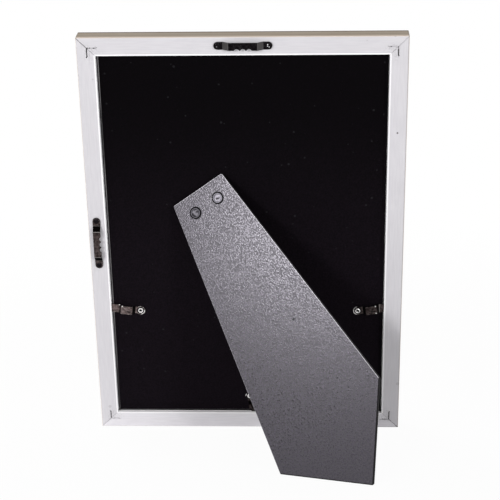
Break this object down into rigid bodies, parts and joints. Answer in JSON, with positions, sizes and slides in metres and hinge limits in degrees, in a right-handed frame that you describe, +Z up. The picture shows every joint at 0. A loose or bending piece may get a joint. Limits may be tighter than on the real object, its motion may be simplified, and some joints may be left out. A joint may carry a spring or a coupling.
{
  "type": "certificate frame",
  "caption": "Certificate frame with mitred moulding, glazing, a backing board held by turn clips, sawtooth hangers and a hinged easel leg that props it up on a table.",
  "frame": {"origin": "centre of the object's box at table height, with the leg open", "axes": "+Z up, -Y towards the easel leg and the back of the frame, +Y towards the side on show, +X to the right when the back is seen"},
  "size_m": [0.2402, 0.1358, 0.3235],
  "materials": {
    "rail_foil": "wood fibre moulding wrapped in pale satin foil",
    "nail_steel": "blackened",
    "black_board": "hardboard, painted black",
    "grey_card": "plain greyboard",
    "cream_paper": "uncoated",
    "clear_sheet": "clear, polished",
    "gunmetal": "dark bronze plating, worn at the bends",
    "plated_steel": "bright nickel plating",
    "leg_core_black": "black fibreboard",
    "grey_leatherette": "pebble-grain leatherette"
  },
  "bodies": {
    "frame": {"rail_top": "rail_foil", "rail_bottom": "rail_foil", "rail_left": "rail_foil", "rail_right": "rail_foil", "v_nail_top_left": "nail_steel", "v_nail_top_right": "nail_steel", "v_nail_bottom_left": "nail_steel", "v_nail_bottom_right": "nail_steel", "backing_board": "black_board", "filler_card": "grey_card", "certificate_sheet": "cream_paper", "glazing": "clear_sheet", "hanger_top": "nail_steel", "hanger_top_nail_left": "nail_steel", "hanger_top_nail_right": "nail_steel", "hanger_left": "gunmetal", "hanger_left_nail_lower": "nail_steel", "hanger_left_nail_upper": "nail_steel", "clip_rivet_left": "plated_steel", "clip_rivet_right": "plated_steel", "clip_rivet_bottom": "plated_steel", "hinge_leaf_board": "plated_steel", "hinge_pin": "plated_steel", "hinge_board_rivet_lower": "plated_steel", "hinge_board_rivet_upper": "plated_steel"},
    "leg": {"easel_leg": "leg_core_black", "leg_cover": "grey_leatherette", "leg_rivet_lower": "plated_steel", "leg_rivet_upper": "plated_steel", "hinge_leaf_leg": "plated_steel"},
    "clip_left": {"turn_clip_left": "gunmetal"},
    "clip_right": {"turn_clip_right": "gunmetal"},
    "clip_bottom": {"turn_clip_bottom": "gunmetal"}
  },
  "joints": [
    {"name": "leg_swing", "type": "hinge", "parent": "frame", "child": "leg", "pos_m": [-0.0312, 0.01511, 0.19809], "axis": [-0.81, 0.1161, -0.5748], "range_deg": [-27.7, 0]},
    {"name": "clip_left_turn", "type": "hinge", "parent": "frame", "child": "clip_left", "pos_m": [-0.084, 0.03194, 0.10263], "axis": [0, 0.9802, 0.198], "continuous": true},
    {"name": "clip_right_turn", "type": "hinge", "parent": "frame", "child": "clip_right", "pos_m": [0.0862, 0.03194, 0.10263], "axis": [0, 0.9802, 0.198], "continuous": true},
    {"name": "clip_bottom_turn", "type": "hinge", "parent": "frame", "child": "clip_bottom", "pos_m": [0.0006, 0.04728, 0.02666], "axis": [0, 0.9802, 0.198], "continuous": true}
  ]
}
